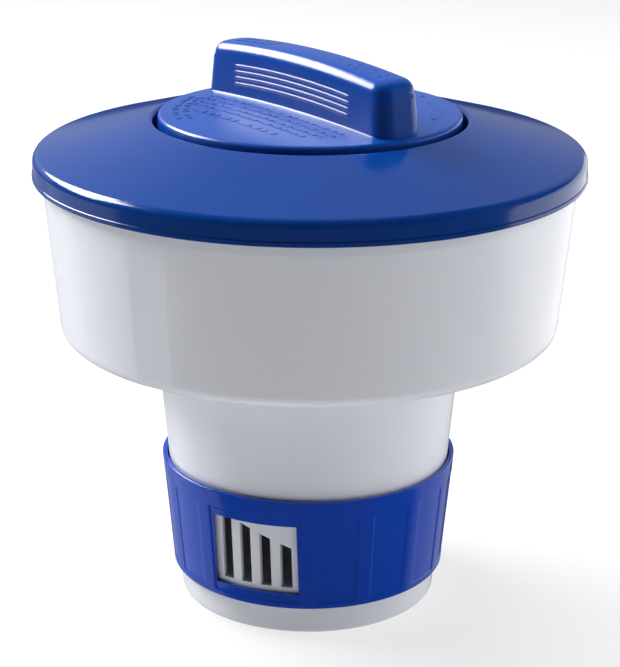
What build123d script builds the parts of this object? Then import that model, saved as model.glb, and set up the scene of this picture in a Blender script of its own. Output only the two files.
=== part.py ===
from build123d import *
import os
from math import cos, radians, sin, sqrt, tan

# Floating chlorine dispenser. Millimetres, +Z up, origin at the centre of the base.
# Angles round the axis are measured from -Y, the side that the first window faces.

# Driving dimensions of the whole object
COVER_R = 93.0             # cover rim, outside
GRIP_TOP_Z = 191.0         # highest point of the grip
WALL = 2.0                 # moulded wall of the float and the cover
CLEAR = 0.4                # running clearance between moving mouldings
PAST = 5.0                 # how far a cut runs past the face that it opens

# Lower tube and bowl, one white moulding
BASE_R = 44.5
TUBE_TAPER = tan(radians(5.0))
BASE_EDGE_R = 1.5
BOWL_FLOOR_Z = 96.1
BOWL_CORNER_R = 84.8
BOWL_TAPER = tan(radians(5.4))
BOWL_CORNER_FILLET = 4.5
NECK_FILLET = 1.0          # between the lower tube and the bowl's floor
BOWL_RIM_R = 89.6
BOWL_RIM_Z = 155.4
THROAT_R = 42.6            # hole in the bowl floor that the tablets pass
COLLAR_TOP_Z = 106.0       # socket that the tablet tube stands in
COLLAR_R = 48.8
COLLAR_WALL = 1.8

# Tablet floor and the sealed ballast pocket below it
POCKET_R = 42.3
POCKET_TOP_Z = 13.0
TABLET_FLOOR_Z = 15.0

# Feed slots in the lower tube, four on each side with tops on one slanted line
SLOT_COUNT = 4
SLOT_WIDTH = 3.7
SLOT_PITCH = 7.07
SLOT_BOTTOM_Z = 17.5
SLOT_TOP_Z = 37.7          # height of the slanted line at the middle of the group
SLOT_TOP_SLOPE = -0.414

# Control ring round the lower tube
RING_BOTTOM_Z = 10.4
RING_TOP_Z = 50.6
RING_BOTTOM_R = 47.5
RING_TOP_R = 51.2
RING_WALL = 1.6
RING_EDGE_R = 0.5
WINDOW_HALF_WIDTH = 15.2
WINDOW_BOTTOM_Z = 15.5
WINDOW_TOP_Z = 41.5
WINDOW_CORNER_R = 0.8
RIB_PITCH = 22.5           # degrees between the upright grip ribs
RIB_ANGLE = 6.5
PANEL_DEPTH = 0.35         # the panels between the ribs lie this much lower
PANEL_BOTTOM_Z = 12.6
PANEL_TOP_Z = 44.2
RING_TRAVEL = 40.0         # degrees from fully open to closed
LUG_COUNT = 3
LUG_ANGLE = 8.0
LUG_HEIGHT = 2.0
LUG_Z = 47.9
LUG_GROOVE_DEPTH = 1.0
LUG_FLOOR_GAP = 0.3
LUG_END_GAP = 1.0          # degrees between a lug and the end of its groove
LUG_START = 60.0           # angle of the first lug, away from the windows

# Cover with its central well
COVER_BOTTOM_Z = 150.5
COVER_CORNER_Z = 158.3     # where rim and cone would meet without the fillet
COVER_CORNER_FILLET = 3.0
COVER_EDGE_R = 1.0
WELL_R = 52.5
WELL_EDGE_Z = 169.3
WELL_EDGE_R = 1.3
WELL_FLOOR_Z = 150.0
WELL_HOLE_R = 47.3
TONGUE_R = 87.2            # rib inside the bowl rim
TONGUE_BOTTOM_Z = 151.5

# Tablet tube with the threaded neck
NECK_R = 46.9
NECK_BORE_R = 44.7
NECK_TOP_Z = 165.3
NECK_EDGE_R = 0.6
NECK_BORE_EDGE_R = 0.8
FLANGE_R = 51.0
FLANGE_TOP_Z = 146.6

# Four-start thread
STARTS = 4
LEAD = 16.0
RIDGE_WIDTH = 1.6
RIDGE_HEIGHT = 1.4
RIDGE_ARC = 110.0          # degrees
RIDGE_START_Z = 153.4
CAP_LUG_ARC = 40.0
CAP_LUG_LEAD_IN = 35.0     # degrees from the start of a ridge to its cap lug
THREAD_ROOT = 0.4          # how far a ridge runs into its wall

# Screw cap
CAP_R = 50.9
CAP_EDGE_Z = 170.8
CAP_CROWN_Z = 172.6
CAP_EDGE_FILLET = 1.4
CAP_BOTTOM_Z = 152.0
CAP_SKIRT_EDGE_R = 0.6
CAP_BORE_R = 48.7
CAP_SEAT_Z = 168.1         # underside of the disc where the gasket lies
CAP_CEILING_Z = 169.4
CAP_SEAT_STEP = 1.0        # the seat slopes up to the ceiling over this radius

# Grip bar on the cap
GRIP_ANGLE = -30.1         # direction of the bar in the XY plane, cap closed
GRIP_HALF_LENGTH = 48.6
GRIP_ROOT_Z = 169.1        # inside the disc, where the bar grows out of it
GRIP_HALF_WIDTH = 9.0
GRIP_CORNER_R = 5.4
GRIP_END_DRAFT = 2.4       # the top is this much shorter at each end
GRIP_SIDE_DRAFT = 1.0      # and this much narrower on each side
GRIP_ARCH = 2.9            # the ends of the top lie this much lower
GRIP_EDGE_FILLET = 4.0
GRIP_CAVITY_HALF_LENGTH = 43.6
GRIP_WALL = 2.0
GRIP_LINE_COUNT = 4
GRIP_LINE_PITCH = 2.05
GRIP_LINE_WIDTH = 0.8
GRIP_LINE_HEIGHT = 0.35
GRIP_LINE_HALF_LENGTH = 31.0
GRIP_FIRST_LINE_DROP = 7.2

# Seals
GASKET_IN_R = 44.8
GASKET_OUT_R = 48.3
GASKET_BOTTOM_Z = 165.6
GASKET_TOP_Z = 167.8
HEAD_SEAL_IN_R = 47.1
HEAD_SEAL_OUT_R = 50.8
RIM_SEAL_R = 88.6
RIM_SEAL_Z = 156.4
RIM_SEAL_SECTION_R = 0.85
FOOT_SEAL_SECTION_R = 0.85
BASE_SEAL_SECTION_R = 1.1
BASE_SEAL_Z = 5.4

# Base plug and ballast
PLUG_PLATE = 2.0
PLUG_SKIRT_TOP_Z = 9.0
PLUG_SKIRT_WALL = 2.6
PLUG_GAP = 0.15
PLUG_BOSS_R = 6.0
PLUG_RING_OUT_R = 33.0     # shallow ring in the plug's face
PLUG_RING_IN_R = 30.0
PLUG_RING_DEPTH = 0.6
BALLAST_THICKNESS = 4.5
BALLAST_BORE_R = 6.4
BALLAST_GAP = 0.3          # round the ballast, inside the plug's skirt

FIT_GAP = 0.1              # between pieces that are clamped together


def tube_r(z):
    """Outside radius of the lower tube."""
    return BASE_R + z * TUBE_TAPER


def ring_r(z):
    """Outside radius of the control ring."""
    slope = (RING_TOP_R - RING_BOTTOM_R) / (RING_TOP_Z - RING_BOTTOM_Z)
    return RING_BOTTOM_R + (z - RING_BOTTOM_Z) * slope


def cover_top_z(r):
    """Height of the cover's cone."""
    slope = (WELL_EDGE_Z - COVER_CORNER_Z) / (COVER_R - WELL_R)
    return COVER_CORNER_Z + (COVER_R - r) * slope


def cover_under_z(r):
    """Underside of the cover's cone, one wall below its top."""
    slope = (WELL_EDGE_Z - COVER_CORNER_Z) / (COVER_R - WELL_R)
    return cover_top_z(r) - WALL * sqrt(1 + slope * slope)


def meridian(angle):
    """Half plane through the axis: x is the radius and y the height."""
    a = radians(angle)
    return Plane(origin=(0, 0, 0), x_dir=(sin(a), -cos(a), 0), z_dir=(-cos(a), -sin(a), 0))


def corner(sketch, r, z):
    """The sketch's vertex nearest to a point of the section."""
    return sketch.vertices().sort_by_distance((r, z, 0))[0]


def ring_solid(points):
    """A plain closed section turned round the axis."""
    with BuildPart() as ring:
        with BuildSketch(Plane.XZ):
            with BuildLine():
                Polyline(*points, close=True)
            make_face()
        revolve(axis=Axis.Z)
    return ring


def o_ring(radius, z, section_r):
    with BuildPart() as seal:
        with BuildSketch(Plane.XZ):
            with Locations((radius, z)):
                Circle(section_r)
        revolve(axis=Axis.Z)
    return seal


def arc_block(start, sweep_angle, points):
    """A section turned through part of a circle, used as a cutter or a lug."""
    with BuildPart() as block:
        with BuildSketch(meridian(start)):
            with BuildLine():
                Polyline(*points, close=True)
            make_face()
        revolve(axis=Axis.Z, revolution_arc=sweep_angle)
    return block.part


def helical_ridge(root_r, tip_r, start_z, start_angle, arc):
    """One thread ridge; root_r and tip_r tell which way it stands out."""
    outward = 1 if tip_r > root_r else -1
    inner = root_r - outward * THREAD_ROOT
    with BuildPart() as ridge:
        with BuildLine() as path:
            Helix(pitch=LEAD, height=LEAD * arc / 360, radius=root_r, center=(0, 0, start_z))
        with BuildSketch(Plane(origin=path.line @ 0, x_dir=(1, 0, 0), z_dir=path.line % 0)):
            with BuildLine():
                Polyline(
                    (inner - root_r, -RIDGE_WIDTH / 2),
                    (tip_r - root_r, -RIDGE_WIDTH / 4),
                    (tip_r - root_r, RIDGE_WIDTH / 4),
                    (inner - root_r, RIDGE_WIDTH / 2),
                    close=True,
                )
            make_face()
        sweep(is_frenet=True)
    return ridge.part.rotate(Axis.Z, start_angle)


def make_float_body():
    inner_top_r = tube_r(BOWL_FLOOR_Z) - WALL
    rim_start_z = BOWL_FLOOR_Z + (BOWL_RIM_R - BOWL_CORNER_R) / BOWL_TAPER
    floor_top_z = BOWL_FLOOR_Z + WALL
    inside_corner_r = BOWL_CORNER_R - WALL + WALL * BOWL_TAPER
    with BuildPart() as body:
        with BuildSketch(Plane.XZ) as section:
            with BuildLine():
                Polyline(
                    (0, POCKET_TOP_Z),
                    (POCKET_R, POCKET_TOP_Z),
                    (POCKET_R, 0),
                    (BASE_R, 0),
                    (tube_r(BOWL_FLOOR_Z), BOWL_FLOOR_Z),
                    (BOWL_CORNER_R, BOWL_FLOOR_Z),
                    (BOWL_RIM_R, rim_start_z),
                    (BOWL_RIM_R, BOWL_RIM_Z),
                    (BOWL_RIM_R - WALL, BOWL_RIM_Z),
                    (BOWL_RIM_R - WALL, rim_start_z),
                    (inside_corner_r, floor_top_z),
                    (COLLAR_R + COLLAR_WALL, floor_top_z),
                    (COLLAR_R + COLLAR_WALL, COLLAR_TOP_Z),
                    (COLLAR_R, COLLAR_TOP_Z),
                    (COLLAR_R, floor_top_z),
                    (THROAT_R, floor_top_z),
                    (THROAT_R, BOWL_FLOOR_Z),
                    (inner_top_r, BOWL_FLOOR_Z),
                    (tube_r(TABLET_FLOOR_Z) - WALL, TABLET_FLOOR_Z),
                    (0, TABLET_FLOOR_Z),
                    close=True,
                )
            make_face()
            fillet(corner(section, BASE_R, 0), BASE_EDGE_R)
            fillet(corner(section, tube_r(BOWL_FLOOR_Z), BOWL_FLOOR_Z), NECK_FILLET)
            fillet(corner(section, BOWL_CORNER_R, BOWL_FLOOR_Z), BOWL_CORNER_FILLET)
            fillet(corner(section, inside_corner_r, floor_top_z), BOWL_CORNER_FILLET - WALL)
        revolve(axis=Axis.Z)
        # Feed slots, cut straight through both sides of the tube
        for side in (0, 180):
            with BuildSketch(meridian(side + 90)):
                for index in range(SLOT_COUNT):
                    middle = (index - (SLOT_COUNT - 1) / 2) * SLOT_PITCH
                    left = middle - SLOT_WIDTH / 2
                    right = middle + SLOT_WIDTH / 2
                    with BuildLine():
                        Polyline(
                            (left, SLOT_BOTTOM_Z),
                            (right, SLOT_BOTTOM_Z),
                            (right, SLOT_TOP_Z + SLOT_TOP_SLOPE * right),
                            (left, SLOT_TOP_Z + SLOT_TOP_SLOPE * left),
                            close=True,
                        )
                    make_face()
            extrude(amount=tube_r(SLOT_TOP_Z) + PAST, mode=Mode.SUBTRACT)
        # Grooves that the ring's lugs run in; their ends are the ring's stops
        groove_floor_r = tube_r(LUG_Z) - LUG_GROOVE_DEPTH
        low = LUG_Z - LUG_HEIGHT / 2 - CLEAR
        high = LUG_Z + LUG_HEIGHT / 2 + CLEAR
        for index in range(LUG_COUNT):
            start = LUG_START + index * 360 / LUG_COUNT - LUG_ANGLE / 2 - LUG_END_GAP
            add(
                arc_block(
                    start,
                    LUG_ANGLE + RING_TRAVEL + 2 * LUG_END_GAP,
                    [
                        (groove_floor_r, low),
                        (RING_TOP_R, low),
                        (RING_TOP_R, high),
                        (groove_floor_r, high),
                    ],
                ),
                mode=Mode.SUBTRACT,
            )
    body.part.label = "float_body"
    export_step(body.part, "parts/float_body.step")
    return body


def make_control_ring():
    with BuildPart() as ring:
        with BuildSketch(Plane.XZ) as section:
            with BuildLine():
                Polyline(
                    (RING_BOTTOM_R, RING_BOTTOM_Z),
                    (RING_TOP_R, RING_TOP_Z),
                    (RING_TOP_R - RING_WALL, RING_TOP_Z),
                    (RING_BOTTOM_R - RING_WALL, RING_BOTTOM_Z),
                    close=True,
                )
            make_face()
            fillet(corner(section, RING_TOP_R, RING_TOP_Z), RING_EDGE_R)
            fillet(corner(section, RING_BOTTOM_R, RING_BOTTOM_Z), RING_EDGE_R)
        revolve(axis=Axis.Z)
        # Low panels between the ribs; each window stands in a double one
        panel = [
            (ring_r(PANEL_BOTTOM_Z) - PANEL_DEPTH, PANEL_BOTTOM_Z),
            (RING_TOP_R + PAST, PANEL_BOTTOM_Z),
            (RING_TOP_R + PAST, PANEL_TOP_Z),
            (ring_r(PANEL_TOP_Z) - PANEL_DEPTH, PANEL_TOP_Z),
        ]
        per_half = round(180 / RIB_PITCH)
        for side in (0, 180):
            window_panel = 2 * RIB_PITCH - RIB_ANGLE
            add(arc_block(side - window_panel / 2, window_panel, panel), mode=Mode.SUBTRACT)
            for index in range(1, per_half - 1):
                start = side + index * RIB_PITCH + RIB_ANGLE / 2
                add(arc_block(start, RIB_PITCH - RIB_ANGLE, panel), mode=Mode.SUBTRACT)
        # The two windows
        with BuildSketch(Plane.XZ):
            with Locations((0, (WINDOW_BOTTOM_Z + WINDOW_TOP_Z) / 2)):
                RectangleRounded(2 * WINDOW_HALF_WIDTH, WINDOW_TOP_Z - WINDOW_BOTTOM_Z, WINDOW_CORNER_R)
        extrude(amount=RING_TOP_R + PAST, both=True, mode=Mode.SUBTRACT)
        # Lugs that hold the ring on the tube
        tip_r = tube_r(LUG_Z) - LUG_GROOVE_DEPTH + LUG_FLOOR_GAP
        root_r = ring_r(LUG_Z) - RING_WALL / 2
        for index in range(LUG_COUNT):
            start = LUG_START + index * 360 / LUG_COUNT - LUG_ANGLE / 2
            add(
                arc_block(
                    start,
                    LUG_ANGLE,
                    [
                        (tip_r, LUG_Z - LUG_HEIGHT / 2),
                        (root_r, LUG_Z - LUG_HEIGHT / 2),
                        (root_r, LUG_Z + LUG_HEIGHT / 2),
                        (tip_r, LUG_Z + LUG_HEIGHT / 2),
                    ],
                )
            )
    ring.part.label = "control_ring"
    export_step(ring.part, "parts/control_ring.step")
    return ring


def make_float_cover():
    with BuildPart() as cover:
        with BuildSketch(Plane.XZ) as section:
            with BuildLine():
                Polyline(
                    (COVER_R, COVER_BOTTOM_Z),
                    (COVER_R, COVER_CORNER_Z),
                    (WELL_R, WELL_EDGE_Z),
                    (WELL_R, WELL_FLOOR_Z),
                    (WELL_HOLE_R, WELL_FLOOR_Z),
                    (WELL_HOLE_R, WELL_FLOOR_Z - WALL),
                    (WELL_R + WALL, WELL_FLOOR_Z - WALL),
                    (WELL_R + WALL, cover_under_z(WELL_R + WALL)),
                    (TONGUE_R - WALL, cover_under_z(TONGUE_R - WALL)),
                    (TONGUE_R - WALL, TONGUE_BOTTOM_Z),
                    (TONGUE_R, TONGUE_BOTTOM_Z),
                    (TONGUE_R, cover_under_z(TONGUE_R)),
                    (COVER_R - WALL, cover_under_z(COVER_R - WALL)),
                    (COVER_R - WALL, COVER_BOTTOM_Z),
                    close=True,
                )
            make_face()
            fillet(corner(section, COVER_R, COVER_CORNER_Z), COVER_CORNER_FILLET)
            fillet(corner(section, COVER_R, COVER_BOTTOM_Z), COVER_EDGE_R)
            fillet(corner(section, WELL_R, WELL_EDGE_Z), WELL_EDGE_R)
        revolve(axis=Axis.Z)
    cover.part.label = "float_cover"
    export_step(cover.part, "parts/float_cover.step")
    return cover


def make_tablet_tube():
    foot_z = BOWL_FLOOR_Z + WALL + FIT_GAP
    flange_bottom_z = FLANGE_TOP_Z - WALL
    ridge_tip_r = NECK_R + RIDGE_HEIGHT
    with BuildPart() as tube:
        with BuildSketch(Plane.XZ) as section:
            with BuildLine():
                Polyline(
                    (NECK_BORE_R, foot_z),
                    (NECK_R, foot_z),
                    (NECK_R, flange_bottom_z),
                    (FLANGE_R, flange_bottom_z),
                    (FLANGE_R, FLANGE_TOP_Z),
                    (NECK_R, FLANGE_TOP_Z),
                    (NECK_R, NECK_TOP_Z),
                    (NECK_BORE_R, NECK_TOP_Z),
                    close=True,
                )
            make_face()
            fillet(corner(section, NECK_R, NECK_TOP_Z), NECK_EDGE_R)
            fillet(corner(section, NECK_BORE_R, NECK_TOP_Z), NECK_BORE_EDGE_R)
        revolve(axis=Axis.Z)
        for start in range(STARTS):
            add(helical_ridge(NECK_R, ridge_tip_r, RIDGE_START_Z, start * 360 / STARTS, RIDGE_ARC))
    tube.part.label = "tablet_tube"
    export_step(tube.part, "parts/tablet_tube.step")
    return tube


def grip_frame(z):
    """Plane at a height, with x along the grip bar."""
    a = radians(GRIP_ANGLE)
    return Plane(origin=(0, 0, z), x_dir=(cos(a), sin(a), 0), z_dir=(0, 0, 1))


def grip_block(half_length, half_width, corner_r, bottom_z, top_z):
    """A drafted bar with rounded corners and an arched top."""
    a = radians(GRIP_ANGLE)
    side = Plane(origin=(0, 0, 0), x_dir=(cos(a), sin(a), 0), z_dir=(sin(a), -cos(a), 0))
    reach = half_length + PAST
    end_z = top_z - GRIP_ARCH * (reach / half_length) ** 2
    with BuildPart() as block:
        with BuildSketch(grip_frame(bottom_z)):
            RectangleRounded(2 * half_length, 2 * half_width, corner_r)
        with BuildSketch(grip_frame(top_z)):
            RectangleRounded(
                2 * (half_length - GRIP_END_DRAFT),
                2 * (half_width - GRIP_SIDE_DRAFT),
                corner_r - GRIP_SIDE_DRAFT / 2,
            )
        loft()
        with BuildSketch(side):
            with BuildLine():
                ThreePointArc((-reach, end_z), (0, top_z), (reach, end_z))
                Polyline((reach, end_z), (reach, 0), (-reach, 0), (-reach, end_z))
            make_face()
        extrude(amount=half_width + PAST, both=True, mode=Mode.INTERSECT)
    return block


def grip_lines():
    """Raised lines that follow the arch on both long sides of the bar."""
    a = radians(GRIP_ANGLE)
    side = Plane(origin=(0, 0, 0), x_dir=(cos(a), sin(a), 0), z_dir=(sin(a), -cos(a), 0))
    half = GRIP_LINE_HALF_LENGTH
    drop = GRIP_ARCH * (half / GRIP_HALF_LENGTH) ** 2
    with BuildPart() as lines:
        with BuildSketch(grip_frame(GRIP_ROOT_Z)):
            RectangleRounded(
                2 * (GRIP_HALF_LENGTH + GRIP_LINE_HEIGHT),
                2 * (GRIP_HALF_WIDTH + GRIP_LINE_HEIGHT),
                GRIP_CORNER_R,
            )
        with BuildSketch(grip_frame(GRIP_TOP_Z)):
            RectangleRounded(
                2 * (GRIP_HALF_LENGTH - GRIP_END_DRAFT + GRIP_LINE_HEIGHT),
                2 * (GRIP_HALF_WIDTH - GRIP_SIDE_DRAFT + GRIP_LINE_HEIGHT),
                GRIP_CORNER_R,
            )
        loft()
        with BuildSketch(side):
            for index in range(GRIP_LINE_COUNT):
                top = GRIP_TOP_Z - GRIP_FIRST_LINE_DROP - index * GRIP_LINE_PITCH
                low = top - GRIP_LINE_WIDTH
                with BuildLine():
                    ThreePointArc((-half, top - drop), (0, top), (half, top - drop))
                    Line((half, top - drop), (half, low - drop))
                    ThreePointArc((half, low - drop), (0, low), (-half, low - drop))
                    Line((-half, low - drop), (-half, top - drop))
                make_face()
        extrude(amount=GRIP_HALF_WIDTH + PAST, both=True, mode=Mode.INTERSECT)
    return lines


def make_screw_cap():
    bar = grip_block(GRIP_HALF_LENGTH, GRIP_HALF_WIDTH, GRIP_CORNER_R, GRIP_ROOT_Z, GRIP_TOP_Z)
    with BuildPart() as rounded_bar:
        add(bar.part)
        top_face = faces().sort_by(Axis.Z)[-1]
        fillet(top_face.edges(), GRIP_EDGE_FILLET)
    cavity = grip_block(
        GRIP_CAVITY_HALF_LENGTH, GRIP_HALF_WIDTH - GRIP_WALL, GRIP_CORNER_R - GRIP_WALL,
        CAP_SEAT_Z - PAST, GRIP_TOP_Z - GRIP_WALL,
    )
    lug_start_z = RIDGE_START_Z - LEAD / STARTS / 2 + LEAD * CAP_LUG_LEAD_IN / 360
    with BuildPart() as cap:
        with BuildSketch(Plane.XZ) as section:
            with BuildLine():
                ThreePointArc(
                    (0, CAP_CROWN_Z),
                    (CAP_R / 2, CAP_EDGE_Z + 0.75 * (CAP_CROWN_Z - CAP_EDGE_Z)),
                    (CAP_R, CAP_EDGE_Z),
                )
                Polyline(
                    (CAP_R, CAP_EDGE_Z),
                    (CAP_R, CAP_BOTTOM_Z),
                    (CAP_BORE_R, CAP_BOTTOM_Z),
                    (CAP_BORE_R, CAP_SEAT_Z),
                    (GASKET_IN_R, CAP_SEAT_Z),
                    (GASKET_IN_R - CAP_SEAT_STEP, CAP_CEILING_Z),
                    (0, CAP_CEILING_Z),
                    (0, CAP_CROWN_Z),
                )
            make_face()
            fillet(corner(section, CAP_R, CAP_EDGE_Z), CAP_EDGE_FILLET)
            fillet(corner(section, CAP_R, CAP_BOTTOM_Z), CAP_SKIRT_EDGE_R)
        revolve(axis=Axis.Z)
        add(rounded_bar.part)
        add(grip_lines().part)
        add(cavity.part, mode=Mode.SUBTRACT)
        for start in range(STARTS):
            angle = start * 360 / STARTS + CAP_LUG_LEAD_IN
            add(helical_ridge(CAP_BORE_R, CAP_BORE_R - RIDGE_HEIGHT, lug_start_z, angle, CAP_LUG_ARC))
    cap.part.label = "screw_cap"
    export_step(cap.part, "parts/screw_cap.step")
    return cap


def make_seals():
    gasket = ring_solid([
        (GASKET_IN_R, GASKET_BOTTOM_Z),
        (GASKET_OUT_R, GASKET_BOTTOM_Z),
        (GASKET_OUT_R, GASKET_TOP_Z),
        (GASKET_IN_R, GASKET_TOP_Z),
    ])
    gasket.part.label = "cap_seal"
    export_step(gasket.part, "parts/cap_seal.step")

    head = ring_solid([
        (HEAD_SEAL_IN_R, FLANGE_TOP_Z + FIT_GAP),
        (HEAD_SEAL_OUT_R, FLANGE_TOP_Z + FIT_GAP),
        (HEAD_SEAL_OUT_R, WELL_FLOOR_Z - WALL - FIT_GAP),
        (HEAD_SEAL_IN_R, WELL_FLOOR_Z - WALL - FIT_GAP),
    ])
    head.part.label = "tube_head_seal"
    export_step(head.part, "parts/tube_head_seal.step")

    foot_z = BOWL_FLOOR_Z + WALL + FOOT_SEAL_SECTION_R + FIT_GAP
    foot = o_ring((NECK_R + COLLAR_R) / 2, foot_z, FOOT_SEAL_SECTION_R)
    foot.part.label = "tube_foot_seal"
    export_step(foot.part, "parts/tube_foot_seal.step")

    rim = o_ring(RIM_SEAL_R, RIM_SEAL_Z, RIM_SEAL_SECTION_R)
    rim.part.label = "rim_seal"
    export_step(rim.part, "parts/rim_seal.step")

    base = o_ring(POCKET_R - PLUG_GAP - BASE_SEAL_SECTION_R, BASE_SEAL_Z, BASE_SEAL_SECTION_R)
    base.part.label = "base_seal"
    export_step(base.part, "parts/base_seal.step")
    return gasket, head, foot, rim, base


def make_base_plug():
    outer_r = POCKET_R - PLUG_GAP
    inner_r = outer_r - PLUG_SKIRT_WALL - BASE_SEAL_SECTION_R
    groove_r = outer_r - 2 * BASE_SEAL_SECTION_R - FIT_GAP
    half_groove = BASE_SEAL_SECTION_R + FIT_GAP
    boss_top_z = PLUG_PLATE + FIT_GAP + BALLAST_THICKNESS
    with BuildPart() as plug:
        with BuildSketch(Plane.XZ):
            with BuildLine():
                Polyline(
                    (0, 0),
                    (outer_r, 0),
                    (outer_r, BASE_SEAL_Z - half_groove),
                    (groove_r, BASE_SEAL_Z - half_groove),
                    (groove_r, BASE_SEAL_Z + half_groove),
                    (outer_r, BASE_SEAL_Z + half_groove),
                    (outer_r, PLUG_SKIRT_TOP_Z),
                    (inner_r, PLUG_SKIRT_TOP_Z),
                    (inner_r, PLUG_PLATE),
                    (PLUG_BOSS_R, PLUG_PLATE),
                    (PLUG_BOSS_R, boss_top_z),
                    (0, boss_top_z),
                    close=True,
                )
            make_face()
        revolve(axis=Axis.Z)
        # Shallow ring round the plug's face
        with BuildSketch(Plane.XY):
            Circle(PLUG_RING_OUT_R)
            Circle(PLUG_RING_IN_R, mode=Mode.SUBTRACT)
        extrude(amount=PLUG_RING_DEPTH, mode=Mode.SUBTRACT)
    plug.part.label = "base_plug"
    export_step(plug.part, "parts/base_plug.step")
    return plug


def make_ballast():
    outer_r = POCKET_R - PLUG_GAP - PLUG_SKIRT_WALL - BASE_SEAL_SECTION_R - BALLAST_GAP
    bottom_z = PLUG_PLATE + FIT_GAP
    ballast = ring_solid([
        (BALLAST_BORE_R, bottom_z),
        (outer_r, bottom_z),
        (outer_r, bottom_z + BALLAST_THICKNESS),
        (BALLAST_BORE_R, bottom_z + BALLAST_THICKNESS),
    ])
    ballast.part.label = "ballast_weight"
    export_step(ballast.part, "parts/ballast_weight.step")
    return ballast


os.makedirs("parts", exist_ok=True)
make_float_body()
make_control_ring()
make_float_cover()
make_tablet_tube()
make_screw_cap()
make_seals()
make_base_plug()
make_ballast()
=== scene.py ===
import math

import bmesh
import bpy
from mathutils import Matrix, Vector


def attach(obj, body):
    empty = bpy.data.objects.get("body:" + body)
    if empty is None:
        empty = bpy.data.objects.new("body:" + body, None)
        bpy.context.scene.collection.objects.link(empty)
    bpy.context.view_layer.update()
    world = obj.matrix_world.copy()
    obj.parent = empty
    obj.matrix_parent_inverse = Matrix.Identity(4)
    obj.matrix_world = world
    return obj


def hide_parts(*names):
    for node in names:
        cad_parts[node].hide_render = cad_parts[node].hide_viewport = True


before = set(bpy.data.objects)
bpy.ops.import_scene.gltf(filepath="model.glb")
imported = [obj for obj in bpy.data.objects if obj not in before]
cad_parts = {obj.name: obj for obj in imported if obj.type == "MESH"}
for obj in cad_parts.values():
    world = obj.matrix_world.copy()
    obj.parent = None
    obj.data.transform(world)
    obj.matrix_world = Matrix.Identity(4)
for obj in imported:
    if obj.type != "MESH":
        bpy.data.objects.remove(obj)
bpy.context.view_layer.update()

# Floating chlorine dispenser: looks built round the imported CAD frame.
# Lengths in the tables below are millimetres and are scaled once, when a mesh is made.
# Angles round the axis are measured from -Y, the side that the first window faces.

MM = 0.001

# ---------------------------------------------------------------- sizes shared with the CAD
COVER_R = 93.0
COVER_CORNER_Z = 158.3
COVER_CORNER_FILLET = 3.0
COVER_BOTTOM_Z = 150.5
WELL_R = 52.5
WELL_EDGE_Z = 169.3
WELL_EDGE_R = 1.3
WELL_FLOOR_Z = 150.0
WELL_HOLE_R = 47.3
TONGUE_R = 87.2            # rib inside the bowl rim
TONGUE_BOTTOM_Z = 151.5
BASE_R = 44.5
BASE_EDGE_R = 1.5
TUBE_TAPER = math.tan(math.radians(5.0))
BOWL_FLOOR_Z = 96.1
BOWL_CORNER_R = 84.8
BOWL_CORNER_FILLET = 4.5
BOWL_TAPER = math.tan(math.radians(5.4))
BOWL_RIM_R = 89.6
BOWL_RIM_Z = 155.4
NECK_FILLET = 1.0          # between the lower tube and the bowl's floor
THROAT_R = 42.6            # hole in the bowl floor that the tablets pass
COLLAR_TOP_Z = 106.0       # socket that the tablet tube stands in
COLLAR_R = 48.8
COLLAR_WALL = 1.8
POCKET_R = 42.3
POCKET_TOP_Z = 13.0
TABLET_FLOOR_Z = 15.0
WALL = 2.0
SLOT_COUNT = 4
SLOT_WIDTH = 3.7
SLOT_PITCH = 7.07
SLOT_BOTTOM_Z = 17.5
SLOT_TOP_Z = 37.7
SLOT_TOP_SLOPE = -0.414
RING_BOTTOM_Z = 10.4
RING_TOP_Z = 50.6
RING_BOTTOM_R = 47.5
RING_TOP_R = 51.2
RING_WALL = 1.6
RING_EDGE_R = 0.5
WINDOW_HALF_WIDTH = 15.2
WINDOW_BOTTOM_Z = 15.5
WINDOW_TOP_Z = 41.5
RIB_COUNT = 16
RIB_PITCH = 22.5
RIB_ANGLE = 6.5
PANEL_DEPTH = 0.35
PANEL_BOTTOM_Z = 12.6
PANEL_TOP_Z = 44.2
CAP_R = 50.9
CAP_EDGE_Z = 170.8
CAP_CROWN_Z = 172.6
CAP_EDGE_FILLET = 1.4
CAP_BOTTOM_Z = 152.0
CAP_SKIRT_EDGE_R = 0.6
CAP_BORE_R = 48.7
CAP_SEAT_Z = 168.1
CAP_CEILING_Z = 169.4
GASKET_IN_R = 44.8
GRIP_ANGLE = -30.1
GRIP_ROOT_Z = 169.1
GRIP_TOP_Z = 191.0
GRIP_HALF_LENGTH = 48.6
GRIP_HALF_WIDTH = 9.0
GRIP_CORNER_R = 5.4
GRIP_END_DRAFT = 2.4
GRIP_SIDE_DRAFT = 1.0
GRIP_ARCH = 2.9
GRIP_EDGE_FILLET = 4.0
GRIP_WALL = 2.0
GRIP_LINE_COUNT = 4
GRIP_LINE_PITCH = 2.05
GRIP_LINE_HALF_LENGTH = 31.0
GRIP_FIRST_LINE_DROP = 7.2
THREAD_LEAD = 16.0
THREAD_STARTS = 4
LUG_START_Z = 152.96
LUG_ARC = 40.0
LUG_LEAD_IN = 35.0
LUG_HEIGHT = 1.4

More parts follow.
